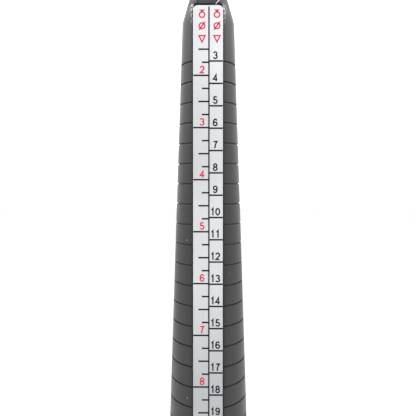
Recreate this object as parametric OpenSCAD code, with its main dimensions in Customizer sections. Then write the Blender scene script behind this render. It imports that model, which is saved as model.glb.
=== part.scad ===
// Ring sizer stick: a hollow tapered mandrel with sizing grooves, two flat scale strips
// sunk into its front and back, and a fluted handle held on by one screw.
// Millimetres. +Z runs up the stick to the tip, the front strip faces -Y, and the origin
// is the centre of the flat base that the stick stands on.

/* [Sizing taper] */
// Smallest ring circumference that has a groove
first_size = 41; // [38:1:44]
// Largest ring circumference that has a groove
last_size = 75; // [68:1:80]
// Distance along the stick from one whole size to the next
size_pitch = 4.64; // [4:0.01:6]
// Width of a sizing groove
groove_w = 0.4; // [0.3:0.05:0.6]
// Depth of a sizing groove
groove_d = 0.28; // [0.15:0.01:0.4]
// Plain length between the last groove and the handle
plain_end = 5.5; // [4:0.5:12]

/* [Nose] */
// Plain length between the first groove and the shoulder of the nose
lead_in = 10.1; // [8:0.1:14]
// Length of the nose above the shoulder
nose_len = 9.8; // [8:0.1:14]
// Slope of the nose against the centre line, in degrees
nose_angle = 16.5; // [12:0.5:20]
// Radius of the blend at the shoulder
shoulder_r = 6; // [3:0.5:8]
// Radius of the rounded edge at the tip
tip_r = 2; // [1:0.25:2.5]

/* [Scale strips] */
// Width of a strip
strip_w = 6.8; // [5:0.1:7.5]
// Thickness of a strip
strip_t = 0.3; // [0.2:0.05:0.5]
// Thickness of the adhesive tape behind a strip
tape_t = 0.15; // [0.1:0.05:0.25]
// How far a strip's face lies under the crown of the taper
strip_sink = 0.95; // [0.8:0.05:1.2]
// Radius of a strip's corners
strip_corner = 1; // [0.5:0.1:1.5]
// How far a strip reaches up the nose from the shoulder
strip_rise = 2.6; // [2:0.1:4.4]
// Plain strip below the last groove
strip_foot = 3; // [1.5:0.1:3.4]
// Gap between a strip's long edge and its recess
side_gap = 0.15; // [0.1:0.05:0.4]
// Gap between a strip's end and its recess
end_gap = 0.3; // [0.3:0.05:0.8]
// How far the tape stays back from the strip's edges
tape_inset = 0.3; // [0.1:0.1:0.6]
// Width of the raised rim around the recess on the nose
rim_w = 0.55; // [0.4:0.05:0.8]

/* [Hollow core] */
// Wall of the tail around the open end of the hollow
tail_wall = 2.2; // [1.6:0.1:3]
// Radius of the hollow at its closed end under the nose
core_tip_r = 3; // [2:0.1:3.2]
// Distance from the shoulder down to the closed end of the hollow
core_stop = 5; // [3:0.5:10]

/* [Tail and screw] */
// Diameter of the tail that plugs into the handle
tail_d = 19.6; // [18:0.1:21]
// Length of the tail
tail_len = 32; // [20:1:40]
// Clearance on diameter between the tail and the handle's bore
tail_play = 0.2; // [0.1:0.05:0.4]
// Chamfer on the end of the tail
tail_edge = 0.8; // [0.4:0.1:1.2]
// Solid roof of the plug above its pilot hole
plug_roof = 2.5; // [1.5:0.5:5]
// Diameter of the screw's thread
screw_d = 4; // [3:0.5:4.5]
// Length of the screw under its head
screw_len = 20; // [16:1:24]
// Depth of the pilot hole beyond the screw's end
pilot_extra = 1.5; // [1:0.5:3]
// Diameter of the screw's head
head_d = 7.6; // [6:0.2:9]
// Height of the screw's head
head_h = 2.8; // [2:0.1:4]
// Diameter of the washer
washer_d = 11; // [9:0.5:13]
// Thickness of the washer
washer_t = 1; // [0.6:0.1:1.6]
// Clearance on diameter of the holes that the screw passes through
screw_play = 0.5; // [0.3:0.1:1]

/* [Handle] */
// Length of the handle sleeve
handle_len = 68; // [60:1:90]
// Diameter of the handle over its flutes
handle_d = 27.4; // [27:0.2:33]
// Thickness of the web that the screw clamps
web_t = 3; // [2:0.5:5]
// Number of flutes around the handle
flutes = 14; // [8:1:18]
// Depth of a flute
flute_depth = 0.8; // [0.4:0.1:1.2]
// Radius of a flute
flute_r = 2.6; // [2:0.1:4]
// Plain band at each end of the handle
flute_margin = 7; // [5:0.5:12]
// Rounding of the handle's upper end
handle_edge = 1.4; // [0.8:0.1:1.5]

/* [End cap] */
// Thickness of the cap's flat base
cap_t = 3.5; // [2.5:0.5:6]
// Length of the skirt that snaps into the handle
skirt_len = 8; // [5:1:14]
// Wall of the skirt
skirt_wall = 1.8; // [1.2:0.1:2.6]
// Clearance on diameter between the skirt and the handle
skirt_play = 0.2; // [0.1:0.05:0.4]
// Rounding of the cap's lower edge
cap_edge = 1.2; // [0.6:0.2:2]
// Chamfer on both sides of the line where the cap meets the handle
parting_edge = 0.4; // [0.2:0.1:0.6]
// Diameter of the handle's lower bore, which takes the cap and the screw driver
cap_bore_d = 20; // [18:0.5:21]
// How far the snap bead stands into the handle's wall
bead_depth = 0.3; // [0.2:0.05:0.5]
// Height of the snap bead
bead_h = 1.2; // [0.8:0.1:2]
// Clearance between the snap bead and its groove
bead_play = 0.1; // [0.05:0.05:0.2]

/* [Hidden] */
$fn = 96;
arc_steps = 6;

// Heights along the stick
handle_bottom = cap_t;
seat_z = handle_bottom + handle_len;
last_groove_z = seat_z + plain_end;
first_groove_z = last_groove_z + (last_size - first_size) * size_pitch;
shoulder_z = first_groove_z + lead_in;
tip_z = shoulder_z + nose_len;
tail_bottom = seat_z - tail_len;
web_top = tail_bottom;
web_bottom = web_top - web_t;
washer_bottom = web_bottom - washer_t;
core_top = shoulder_z - core_stop;
core_r = tail_d / 2 - tail_wall;

// A groove's size is its circumference, so the radius grows by 1 / 2 pi from one to the next
slope = 1 / (2 * PI * size_pitch);
lean = atan(slope);
function taper_r(z) = first_size / (2 * PI) + (first_groove_z - z) * slope;
function groove_z(size) = first_groove_z - (size - first_size) * size_pitch;
function unit(angle) = [cos(angle), sin(angle)];
function core_r_at(z) = core_r + (core_tip_r - core_r) * (z - tail_bottom) / (core_top - tail_bottom);

// Distances along the crown line, measured from the shoulder
strip_low = (last_groove_z - strip_foot - shoulder_z) / cos(lean);
strip_high = strip_rise / cos(lean);
recess_depth = strip_sink + strip_t + tape_t;
recess_w = strip_w + 2 * side_gap;
screw_tip_z = washer_bottom + screw_len;
plug_len = screw_len - web_t - washer_t + pilot_extra + plug_roof;

// The rim's solid runs from below the shoulder and from inside the nose to outside the taper
rim_start = 8;
rim_root = 4;
rim_top = 2;

// Stands a shape on the crown line of the front or the back: its X stays across the stick,
// its Y runs up the crown line from the shoulder and its Z points out of the surface.
module on_crown(back = false) {
    rotate([0, 0, back ? 180 : 0])
        translate([0, -taper_r(shoulder_z), shoulder_z])
            rotate([90 - lean, 0, 0])
                children();
}

// A long plate with rounded corners, from y_low to y_high, lying between two heights
module plate(width, y_low, y_high, corner, z_low, z_high) {
    corners = [[1, 1], [-1, 1], [-1, -1], [1, -1]];
    outline = [
        for (quarter = [0:3], i = [0:arc_steps])
            [corners[quarter][0] * (width / 2 - corner),
             corners[quarter][1] > 0 ? y_high - corner : y_low + corner]
                + corner * unit(90 * (quarter + i / arc_steps))
    ];
    translate([0, 0, z_low])
        linear_extrude(z_high - z_low)
            polygon(outline);
}

// The hollow taper and its tail, drawn as one outline with the grooves, from the open end
// of the hollow out around the tail and up to the tip
module grooved_taper() {
    grooves = [
        for (size = [last_size:-1:first_size])
            let (z = groove_z(size), r = taper_r(z))
                each [
                    [r, z - groove_w / 2],
                    [r - groove_d, z - groove_w / 4],
                    [r - groove_d, z + groove_w / 4],
                    [r, z + groove_w / 2],
                ],
    ];
    rotate_extrude()
        polygon(concat(
            [[core_r, tail_bottom], [tail_d / 2 - tail_edge, tail_bottom],
             [tail_d / 2, tail_bottom + tail_edge], [tail_d / 2, seat_z], [taper_r(seat_z), seat_z]],
            grooves,
            [[taper_r(tip_z), tip_z], [0, tip_z], [0, core_top], [core_tip_r / 2, core_top],
             [core_r_at(core_top - core_tip_r / 2), core_top - core_tip_r / 2]]
        ));
}

// What is taken off the taper to leave the nose: a ring outside the nose's outline, which
// is an arc at the shoulder, a straight cone and an arc at the tip
module nose_cut() {
    reach = shoulder_r * tan((nose_angle - lean) / 2);
    blend_centre = [taper_r(shoulder_z) + reach * sin(lean), shoulder_z - reach * cos(lean)]
        - shoulder_r * [cos(lean), sin(lean)];
    blend = [
        for (i = [0:arc_steps])
            blend_centre + shoulder_r * unit(lean + (nose_angle - lean) * i / arc_steps)
    ];
    cone_top_z = tip_z - tip_r + tip_r * sin(nose_angle);
    cone_top_r = blend[arc_steps][0] - (cone_top_z - blend[arc_steps][1]) * tan(nose_angle);
    edge_centre = [cone_top_r - tip_r * cos(nose_angle), tip_z - tip_r];
    edge = [
        for (i = [0:arc_steps])
            edge_centre + tip_r * unit(nose_angle + (90 - nose_angle) * i / arc_steps)
    ];
    before = 2 * blend[0] - blend[1];
    beyond = 2 * edge[arc_steps] - edge[arc_steps - 1];
    outside = taper_r(shoulder_z) + 1;
    rotate_extrude()
        polygon(concat(
            [[outside, before[1]], before],
            [for (i = [1:arc_steps]) blend[i]],
            edge,
            [beyond, [outside, beyond[1]]]
        ));
}

// What the nose cut leaves standing: a rim around the upper end of a recess, ramped down
// to the nose at its end
module rim(back) {
    end = strip_high + end_gap + rim_w;
    on_crown(back)
        intersection() {
            plate(recess_w + 2 * rim_w, -rim_start, end, strip_corner + side_gap + rim_w,
                  -rim_root, rim_top);
            rotate([90, 0, 90])
                linear_extrude(2 * recess_w, center = true)
                    polygon([
                        [-2 * rim_start, -rim_root], [end + rim_root - recess_depth, -rim_root],
                        [end - rim_top - recess_depth, rim_top], [-2 * rim_start, rim_top],
                    ]);
        }
}

module recess(back) {
    on_crown(back)
        plate(recess_w, strip_low - end_gap, strip_high + end_gap, strip_corner + side_gap,
              -recess_depth, rim_top);
}

module mandrel_shell() {
    color([0.1, 0.1, 0.11])
        difference() {
            grooved_taper();
            difference() {
                nose_cut();
                rim(false);
                rim(true);
            }
            recess(false);
            recess(true);
        }
}

module scale_strip(back) {
    color([0.8, 0.8, 0.82])
        on_crown(back)
            plate(strip_w, strip_low, strip_high, strip_corner,
                  -strip_sink - strip_t, -strip_sink);
}

module strip_tape(back) {
    color([0.9, 0.87, 0.75])
        on_crown(back)
            plate(strip_w - 2 * tape_inset, strip_low + tape_inset, strip_high - tape_inset,
                  strip_corner - tape_inset / 2, -recess_depth, -recess_depth + tape_t);
}

module front_scale_strip() scale_strip(false);
module rear_scale_strip() scale_strip(true);
module front_strip_tape() strip_tape(false);
module rear_strip_tape() strip_tape(true);

// Fills the open end of the hollow and gives the screw its pilot hole
module tail_plug() {
    color([0.16, 0.16, 0.17])
        difference() {
            translate([0, 0, tail_bottom])
                cylinder(h = plug_len, r1 = core_r, r2 = core_r_at(tail_bottom + plug_len));
            translate([0, 0, tail_bottom - 1])
                cylinder(h = plug_len - plug_roof + 1, d = screw_d);
        }
}

// A ring of straight flutes, cut between the plain bands at the handle's ends
module flute_cuts() {
    for (i = [0:flutes - 1])
        rotate([0, 0, 360 * (i + 0.5) / flutes])
            translate([handle_d / 2 - flute_depth + flute_r, 0, handle_bottom + flute_margin])
                cylinder(h = handle_len - 2 * flute_margin, r = flute_r, $fn = 32);
}

module handle_sleeve() {
    r = handle_d / 2;
    bore_r = (tail_d + tail_play) / 2;
    color([0.1, 0.1, 0.11])
        difference() {
            rotate_extrude()
                polygon(concat(
                    [[0, handle_bottom], [r - parting_edge, handle_bottom],
                     [r, handle_bottom + parting_edge]],
                    [
                        for (i = [0:arc_steps])
                            [r - handle_edge, seat_z - handle_edge]
                                + handle_edge * unit(90 * i / arc_steps)
                    ],
                    [[0, seat_z]]
                ));
            translate([0, 0, web_top])
                cylinder(h = tail_len + 1, r = bore_r);
            translate([0, 0, web_bottom - 1])
                cylinder(h = web_t + 2, d = screw_d + screw_play);
            translate([0, 0, handle_bottom - 1])
                cylinder(h = web_bottom - handle_bottom + 1, d = cap_bore_d);
            bead_ring(bead_depth + bead_play, bead_h + 2 * bead_play);
            flute_cuts();
        }
}

// The snap bead, or with more depth and height the groove that takes it
module bead_ring(depth, height) {
    r = cap_bore_d / 2;
    inner = r - skirt_wall / 2;
    z = cap_t + skirt_len * 0.6;
    rotate_extrude()
        polygon([
            [inner, z - height / 2 - (r - inner)], [r, z - height / 2], [r + depth, z - height / 6],
            [r + depth, z + height / 6], [r, z + height / 2], [inner, z + height / 2 + (r - inner)],
        ]);
}

module handle_screw() {
    slot_w = head_d / 7;
    color([0.62, 0.63, 0.65])
        difference() {
            union() {
                translate([0, 0, washer_bottom - head_h])
                    rotate_extrude()
                        polygon([
                            [0, 0], [head_d * 0.36, 0], [head_d * 0.47, head_h * 0.3],
                            [head_d / 2, head_h * 0.7], [head_d / 2, head_h], [0, head_h],
                        ]);
                translate([0, 0, washer_bottom - 0.1])
                    cylinder(h = screw_len - screw_d + 0.1, d = screw_d);
                translate([0, 0, screw_tip_z - screw_d])
                    cylinder(h = screw_d, r1 = screw_d / 2, r2 = screw_d / 8);
            }
            for (turn = [0, 90])
                rotate([0, 0, turn])
                    translate([-head_d * 0.28, -slot_w / 2, washer_bottom - head_h - 1])
                        cube([head_d * 0.56, slot_w, head_h * 0.55 + 1]);
        }
}

module screw_washer() {
    color([0.7, 0.7, 0.72])
        translate([0, 0, washer_bottom])
            difference() {
                cylinder(h = washer_t, d = washer_d);
                translate([0, 0, -1])
                    cylinder(h = washer_t + 2, d = screw_d + screw_play);
            }
}

module end_cap() {
    r = handle_d / 2;
    skirt_r = (cap_bore_d - skirt_play) / 2;
    color([0.1, 0.1, 0.11])
        difference() {
            union() {
                rotate_extrude()
                    polygon(concat(
                        [[0, 0]],
                        [
                            for (i = [0:arc_steps])
                                [r - cap_edge, cap_edge] + cap_edge * unit(-90 + 90 * i / arc_steps)
                        ],
                        [[r, cap_t - parting_edge], [r - parting_edge, cap_t],
                         [skirt_r, cap_t], [skirt_r, cap_t + skirt_len], [0, cap_t + skirt_len]]
                    ));
                bead_ring(bead_depth, bead_h);
            }
            translate([0, 0, cap_t])
                cylinder(h = skirt_len + 1, r = skirt_r - skirt_wall);
        }
}

mandrel_shell();
front_scale_strip();
front_strip_tape();
rear_scale_strip();
rear_strip_tape();
tail_plug();
handle_sleeve();
handle_screw();
screw_washer();
end_cap();
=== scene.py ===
"""A ring sizer stick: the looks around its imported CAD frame. Metres, +Z up, front strip at -Y."""
import math

import bmesh
import bpy
from mathutils import Matrix, Vector


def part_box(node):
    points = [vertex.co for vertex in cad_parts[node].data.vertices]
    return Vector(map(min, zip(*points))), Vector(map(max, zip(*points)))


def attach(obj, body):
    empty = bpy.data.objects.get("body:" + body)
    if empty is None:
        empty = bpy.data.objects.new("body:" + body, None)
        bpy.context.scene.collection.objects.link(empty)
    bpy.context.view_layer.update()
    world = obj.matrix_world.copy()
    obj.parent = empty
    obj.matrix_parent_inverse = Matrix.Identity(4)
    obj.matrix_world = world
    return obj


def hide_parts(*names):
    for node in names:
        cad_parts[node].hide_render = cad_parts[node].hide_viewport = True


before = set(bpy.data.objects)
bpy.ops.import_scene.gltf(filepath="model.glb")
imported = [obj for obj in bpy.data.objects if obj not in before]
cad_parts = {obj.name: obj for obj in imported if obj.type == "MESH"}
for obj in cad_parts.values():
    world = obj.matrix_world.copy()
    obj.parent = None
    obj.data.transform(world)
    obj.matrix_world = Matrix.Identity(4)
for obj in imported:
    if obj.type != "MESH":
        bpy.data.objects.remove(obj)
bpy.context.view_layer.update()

MM = 0.001

# ---------------------------------------- sizes, as the CAD has them
FIRST_SIZE, LAST_SIZE = 41, 75
SIZE_PITCH = 4.64 * MM
GROOVE_DEPTH = 0.28 * MM
PLAIN_END = 5.5 * MM
LEAD_IN = 10.1 * MM
NOSE_ANGLE = math.radians(16.5)
SHOULDER_BLEND = 6 * MM
TIP_ROUNDING = 2 * MM
STRIP_WIDTH = 6.8 * MM
STRIP_THICKNESS = 0.3 * MM
TAPE_THICKNESS = 0.15 * MM
STRIP_SINK = 0.95 * MM
STRIP_CORNER = 1.0 * MM
STRIP_RISE = 2.6 * MM
STRIP_FOOT = 3 * MM
SIDE_GAP = 0.15 * MM
END_GAP = 0.3 * MM
RIM_WIDTH = 0.55 * MM
CORE_TIP_RADIUS = 3 * MM
CORE_STOP = 5 * MM
TAIL_RADIUS = 9.8 * MM
TAIL_WALL = 2.2 * MM
TAIL_EDGE = 0.8 * MM
HANDLE_ROUNDING = 1.4 * MM
PARTING_EDGE = 0.4 * MM
CAP_ROUNDING = 1.2 * MM
CAP_BORE_RADIUS = 10 * MM
SKIRT_WALL = 1.8 * MM
FIT_PLAY = 0.1 * MM
FLUTES = 14
FLUTE_DEPTH = 0.8 * MM
FLUTE_MARGIN = 7 * MM

TAIL_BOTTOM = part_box("mandrel_shell")[0].z
TIP_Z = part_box("mandrel_shell")[1].z
CAP_TOP, SEAT_Z = (corner.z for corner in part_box("handle_sleeve"))
HANDLE_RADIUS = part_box("handle_sleeve")[1].x
WASHER_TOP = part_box("screw_washer")[1].z
SCREW_HOLE_RADIUS = 2.25 * MM

LAST_GROOVE_Z = SEAT_Z + PLAIN_END
FIRST_GROOVE_Z = LAST_GROOVE_Z + (LAST_SIZE - FIRST_SIZE) * SIZE_PITCH
SHOULDER_Z = FIRST_GROOVE_Z + LEAD_IN
SLOPE = MM / (2 * math.pi * SIZE_PITCH)
LEAN = math.atan(SLOPE)
RECESS_DEPTH = STRIP_SINK + STRIP_THICKNESS + TAPE_THICKNESS
RECESS_HALF = STRIP_WIDTH / 2 + SIDE_GAP
RECESS_CORNER = STRIP_CORNER + SIDE_GAP
RECESS_HIGH = STRIP_RISE + END_GAP
RECESS_LOW = LAST_GROOVE_Z - STRIP_FOOT - SHOULDER_Z - END_GAP
RIM_HALF = RECESS_HALF + RIM_WIDTH
RIM_END = RECESS_HIGH + RIM_WIDTH
STRIP_LOW = (LAST_GROOVE_Z - STRIP_FOOT - SHOULDER_Z) / math.cos(LEAN)
STRIP_HIGH = STRIP_RISE / math.cos(LEAN)


def taper_radius(z):
    return FIRST_SIZE * MM / (2 * math.pi) + (FIRST_GROOVE_Z - z) * SLOPE


def height_of_diameter(diameter):
    return FIRST_GROOVE_Z + (taper_radius(FIRST_GROOVE_Z) - diameter / 2) / SLOPE


def smoothstep(low, high, value):
    t = min(1.0, max(0.0, (value - low) / (high - low)))
    return t * t * (3 - 2 * t)


def add_object(name, data):
    """A new object in the scene that holds the data."""
    made = bpy.data.objects.new(name, data)
    bpy.context.collection.objects.link(made)
    return made


def paint(mesh, material):
    """Gives the whole mesh one material."""
    mesh.materials.clear()
    mesh.materials.append(material)


# ---------------------------------------- camera
CAMERA_DISTANCE = 108.6 * MM
CAMERA_HEIGHT = FIRST_GROOVE_Z - 26.57 * MM
CAMERA_ASIDE = -0.08 * MM
CAMERA_TURN = math.radians(0.75)
CAMERA_PITCH_DOWN = 0.0445
CAMERA_LENS = 38.77
CAMERA_SHIFT_UP = -0.0238


def make_camera():
    """A near camera level with the small sizes, looking slightly down at the front strip."""
    data = bpy.data.cameras.new("camera")
    data.sensor_width = 36
    data.lens = CAMERA_LENS
    data.shift_y = CAMERA_SHIFT_UP
    data.clip_start = 5 * MM
    camera = add_object("camera", data)
    sine, cosine = math.sin(CAMERA_TURN), math.cos(CAMERA_TURN)
    camera.location = (CAMERA_DISTANCE * sine + CAMERA_ASIDE * cosine,
                       -CAMERA_DISTANCE * cosine + CAMERA_ASIDE * sine, CAMERA_HEIGHT)
    camera.rotation_euler = (math.pi / 2 - CAMERA_PITCH_DOWN, 0, CAMERA_TURN)
    bpy.context.scene.camera = camera


make_camera()


# ---------------------------------------- mesh helpers
def mesh_object(name, vertices, faces, sharp_angle=32):
    mesh = bpy.data.meshes.new(name)
    mesh.from_pydata(vertices, [], faces)
    built = bmesh.new()
    built.from_mesh(mesh)
    bmesh.ops.remove_doubles(built, verts=built.verts, dist=1e-7)
    bmesh.ops.recalc_face_normals(built, faces=built.faces)
    built.to_mesh(mesh)
    built.free()
    mesh.shade_smooth()
    mesh.set_sharp_from_angle(angle=math.radians(sharp_angle))
    return add_object(name, mesh)


def loft(name, rings, closed_tube=False, sharp_angle=32):
    """Quads between successive rings of equally many points. The end rings are capped unless
    the tube runs back into itself."""
    count = len(rings[0])
    vertices = [point for ring in rings for point in ring]
    faces = []
    spans = len(rings) if closed_tube else len(rings) - 1
    for row in range(spans):
        here, above = row * count, (row + 1) % len(rings) * count
        for i in range(count):
            j = (i + 1) % count
            faces.append((here + i, here + j, above + j, above + i))
    if not closed_tube:
        faces.append(tuple(range(count))[::-1])
        faces.append(tuple(range(len(vertices) - count, len(vertices))))
    return mesh_object(name, vertices, faces, sharp_angle)


def revolve(name, outline, segments=168, closed_tube=False, sharp_angle=32):
    """Turns an outline of (radius, height) points about the stick's centre line."""
    turns = [2 * math.pi * i / segments for i in range(segments)]
    rings = [[(r * math.cos(a), r * math.sin(a), z) for a in turns] for r, z in outline]
    return loft(name, rings, closed_tube, sharp_angle)


def rounded(centre, radius, start, end, steps=6):
    """Points of an arc in an outline, between two angles in degrees."""
    angles = [math.radians(start + (end - start) * i / steps) for i in range(steps + 1)]
    return [(centre[0] + radius * math.cos(a), centre[1] + radius * math.sin(a)) for a in angles]


def join(name, parts):
    """One mesh from many."""
    built = bmesh.new()
    for part in parts:
        built.from_mesh(part)
    mesh = bpy.data.meshes.new(name)
    built.to_mesh(mesh)
    built.free()
    return mesh


# ---------------------------------------- the mandrel
FLOOR_STEPS, WALL_STEPS, RIM_STEPS, STEP_STEPS, SIDE_STEPS = 5, 3, 3, 3, 17
LIP = 0.12 * MM
RIM_DRAFT = 0.6 * MM
SEAM_HEIGHT = 0.025 * MM
SEAT_STEP = 0.15 * MM
HAIR = 0.02 * MM
WIDEST_SHARE = 0.8  # of a small ring's radius that the recess and its rim may take up
WALL_DRAFT = 0.25  # how far a wall leans out by its top, in lip widths
LIP_MIDDLE, LIP_DROP = 0.55, 0.35  # the lip's middle point, out and down, in lip widths
LIPS_APART = 2.2  # the least distance between recess and rim edges, in lip widths
END_WALL_SHARE = 0.12  # how far the recess's end walls are sunk at their tops
CONE_STEPS = 24
# The shallow mark of the moulding gate in the tip: (share of the tip's radius, mm down)
GATE_MARK = [(0.42, 0.0), (0.36, 0.12), (0.1, 0.16)]
# Across a sizing groove from below: (mm above its own height, share of its depth)
GROOVE_PROFILE = [(-0.38, 0.0), (-0.3, 0.0), (-0.25, 1 / 7), (-0.21, 1.0),
                  (0.04, 1.0), (0.1, 0.5), (0.13, 3 / 28), (0.17, 0.0), (0.25, 0.0)]


def mandrel_ring(z, radius, crown=None, ramp=None, recess_half=RECESS_HALF, rim_half=RIM_HALF,
                 floor=None, open_share=1.0, seam=0.0):
    """One closed loop round the mandrel at height z. Each quarter runs from the strip's middle
    over the recess floor, its wall, the rim and the rim's outer step to the side.
    crown is the rim's radius where it stands above the nose, ramp limits it near its end, and
    open_share sinks the recess floor from the surface (0) to its full depth (1)."""
    crown = crown or radius
    ramp = ramp or crown
    shrink = min(1.0, WIDEST_SHARE * radius / (rim_half + RIM_DRAFT))
    half, rim = recess_half * shrink, rim_half * shrink
    lip, draft = LIP * shrink, RIM_DRAFT * shrink

    def surface(x):
        low = math.sqrt(max(radius * radius - x * x, 0))
        high = min(math.sqrt(max(crown * crown - x * x, 0)), ramp)
        return low + max(0, high - low) * (1 - smoothstep(rim, rim + draft, x))

    quarter = []
    wall_top = surface(half) - lip
    for i in range(FLOOR_STEPS + 1):
        x = half * i / FLOOR_STEPS
        depth = floor if floor is not None else surface(x)
        quarter.append((x, surface(x) + (depth - surface(x)) * open_share))
    foot = quarter[-1][1]
    for i in range(1, WALL_STEPS + 1):
        share = i / WALL_STEPS
        x = half + lip * WALL_DRAFT * share
        sunk = foot + (wall_top - foot) * share
        quarter.append((x, surface(x) + (sunk - surface(x)) * open_share))
    middle = half + lip * LIP_MIDDLE
    quarter.append((middle, surface(middle) - lip * LIP_DROP * open_share))
    for i in range(RIM_STEPS + 1):
        x = half + lip + (rim - half - lip) * i / RIM_STEPS
        quarter.append((x, surface(x)))
    for i in range(1, STEP_STEPS + 1):
        x = rim + draft * i / STEP_STEPS
        quarter.append((x, surface(x)))
    start = math.atan2(quarter[-1][0], quarter[-1][1])
    for i in range(1, SIDE_STEPS + 1):
        angle = start + (math.pi / 2 - start) * i / SIDE_STEPS
        reach = radius + (seam if i == SIDE_STEPS else 0)
        quarter.append((reach * math.sin(angle), reach * math.cos(angle)))
    quarter[-1] = (radius + seam, 0.0)

    front = quarter[:-1]
    back = quarter[:0:-1]
    loop = [(x, -y) for x, y in front] + [(x, y) for x, y in back]
    loop += [(-x, y) for x, y in front] + [(-x, -y) for x, y in back]
    return [(x, y, z) for x, y in loop]


def groove_rows():
    """Heights and depths across every sizing groove, and halfway between grooves."""
    rows = []
    for size in range(LAST_SIZE, FIRST_SIZE - 1, -1):
        z = FIRST_GROOVE_Z - (size - FIRST_SIZE) * SIZE_PITCH
        rows += [(z + up * MM, share * GROOVE_DEPTH) for up, share in GROOVE_PROFILE]
        if size > FIRST_SIZE:
            rows.append((z + SIZE_PITCH / 2, 0.0))
    return rows


def nose_rows():
    """Up the nose: heights and radii of the shoulder's blend, the cone's radius at any height,
    and heights and radii of the tip's edge."""
    reach = SHOULDER_BLEND * math.tan((NOSE_ANGLE - LEAN) / 2)
    start_z = SHOULDER_Z - reach * math.cos(LEAN)
    centre = (taper_radius(SHOULDER_Z) + reach * math.sin(LEAN) - SHOULDER_BLEND * math.cos(LEAN),
              start_z - SHOULDER_BLEND * math.sin(LEAN))
    blend = rounded(centre, SHOULDER_BLEND, math.degrees(LEAN), math.degrees(NOSE_ANGLE))
    top_z = TIP_Z - TIP_ROUNDING + TIP_ROUNDING * math.sin(NOSE_ANGLE)

    def cone_radius(z):
        return blend[-1][0] - (z - blend[-1][1]) * math.tan(NOSE_ANGLE)

    edge_centre = (cone_radius(top_z) - TIP_ROUNDING * math.cos(NOSE_ANGLE), TIP_Z - TIP_ROUNDING)
    edge = rounded(edge_centre, TIP_ROUNDING, math.degrees(NOSE_ANGLE), 90, 8)
    return [(z, r) for r, z in blend], cone_radius, [(z, r) for r, z in edge]


def recess_end(end, up, steps=6):
    """Heights and half widths round a recess's rounded end, at end above the shoulder."""
    rows = []
    for i in range(steps + 1):
        angle = math.pi / 2 * i / steps
        rows.append((SHOULDER_Z + end - up * RECESS_CORNER * (1 - math.sin(angle)),
                     RECESS_HALF - RECESS_CORNER * (1 - math.cos(angle))))
    return rows


def width_at(z, rows, beyond):
    """The half width at a height between two rows of a rounded end."""
    for (z0, half0), (z1, half1) in zip(rows, rows[1:]):
        if min(z0, z1) <= z <= max(z0, z1) and z0 != z1:
            return half0 + (half1 - half0) * (z - z0) / (z1 - z0)
    return beyond


def tail_rings(core_foot, core_top):
    """Rings from the top of the hollow core, down its wall and up the outside of the tail."""
    dome = CORE_TIP_RADIUS * 0.5
    share = (core_top - dome - TAIL_BOTTOM) / (core_top - TAIL_BOTTOM)
    return [
        mandrel_ring(core_top, dome),
        mandrel_ring(core_top - dome, core_foot + (CORE_TIP_RADIUS - core_foot) * share),
        mandrel_ring(TAIL_BOTTOM, core_foot),
        mandrel_ring(TAIL_BOTTOM, TAIL_RADIUS - TAIL_EDGE),
        mandrel_ring(TAIL_BOTTOM + TAIL_EDGE, TAIL_RADIUS),
        mandrel_ring(SEAT_Z, TAIL_RADIUS),
        mandrel_ring(SEAT_Z, taper_radius(SEAT_Z) - SEAT_STEP),
        mandrel_ring(SEAT_Z + SEAT_STEP, taper_radius(SEAT_Z), seam=SEAM_HEIGHT),
    ]


def make_mandrel():
    blend, cone_radius, tip_edge = nose_rows()
    rings = tail_rings(TAIL_RADIUS - TAIL_WALL, SHOULDER_Z - CORE_STOP)
    low_end, high_end = recess_end(RECESS_LOW, -1), recess_end(RECESS_HIGH, 1)
    low_z, high_z = low_end[-1][0], high_end[-1][0]
    end_half = low_end[-1][1]

    # Every height at which the mandrel needs a ring, with the groove's depth there
    heights = dict(groove_rows())
    for z, _ in low_end + high_end + blend + tip_edge:
        heights.setdefault(z, 0.0)
    cone_start, cone_end = blend[-1][0], tip_edge[0][0]
    for i in range(1, CONE_STEPS):
        heights.setdefault(cone_start + (cone_end - cone_start) * i / CONE_STEPS, 0.0)
    for z in (low_z - LIP - HAIR, low_z - HAIR, high_z + HAIR, high_z + HAIR + LIP):
        heights[z] = 0.0
    nose_radii = dict(blend + tip_edge)

    for z in sorted(heights):
        full = taper_radius(z) - heights[z]
        radius = nose_radii.get(z, cone_radius(z) if z > cone_start else full)
        half = RECESS_HALF
        if z < low_end[0][0]:
            half = width_at(z, low_end, end_half)
        if z > high_end[0][0]:
            half = width_at(z, high_end, end_half)
        crown, ramp, rim = radius, None, RIM_HALF
        if blend[0][0] < z:
            above, corner = z - SHOULDER_Z, RECESS_CORNER + RIM_WIDTH
            if above <= RIM_END:
                crown = max(radius, full)
                drop = max(0.0, above - (RIM_END - RECESS_DEPTH))
                ramp = min(crown, taper_radius(z) - drop)
            past = min(1.0, max(0.0, above - (RIM_END - corner)) / corner)
            rim = RIM_HALF - corner * (1 - math.sqrt(1 - past * past))
            rim = max(rim, half + LIPS_APART * LIP)
        floor, share = None, 1.0
        if low_z - HAIR / 2 < z < high_z + HAIR / 2:
            floor = taper_radius(z) - RECESS_DEPTH / math.cos(LEAN)
        elif low_z - HAIR - LIP / 2 < z < high_z + HAIR + LIP / 2:
            floor, share = taper_radius(z) - RECESS_DEPTH, END_WALL_SHARE
        rings.append(mandrel_ring(z, radius, crown, ramp, half, rim, floor, share,
                                  seam=SEAM_HEIGHT if z < cone_start else 0.0))
    tip_radius = tip_edge[-1][1]
    for share, down in GATE_MARK:
        rings.append(mandrel_ring(TIP_Z - down * MM, tip_radius * share))
    return loft("mandrel", rings, sharp_angle=38)


# ---------------------------------------- scale strips
STRIP_EDGE = 0.05 * MM


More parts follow.
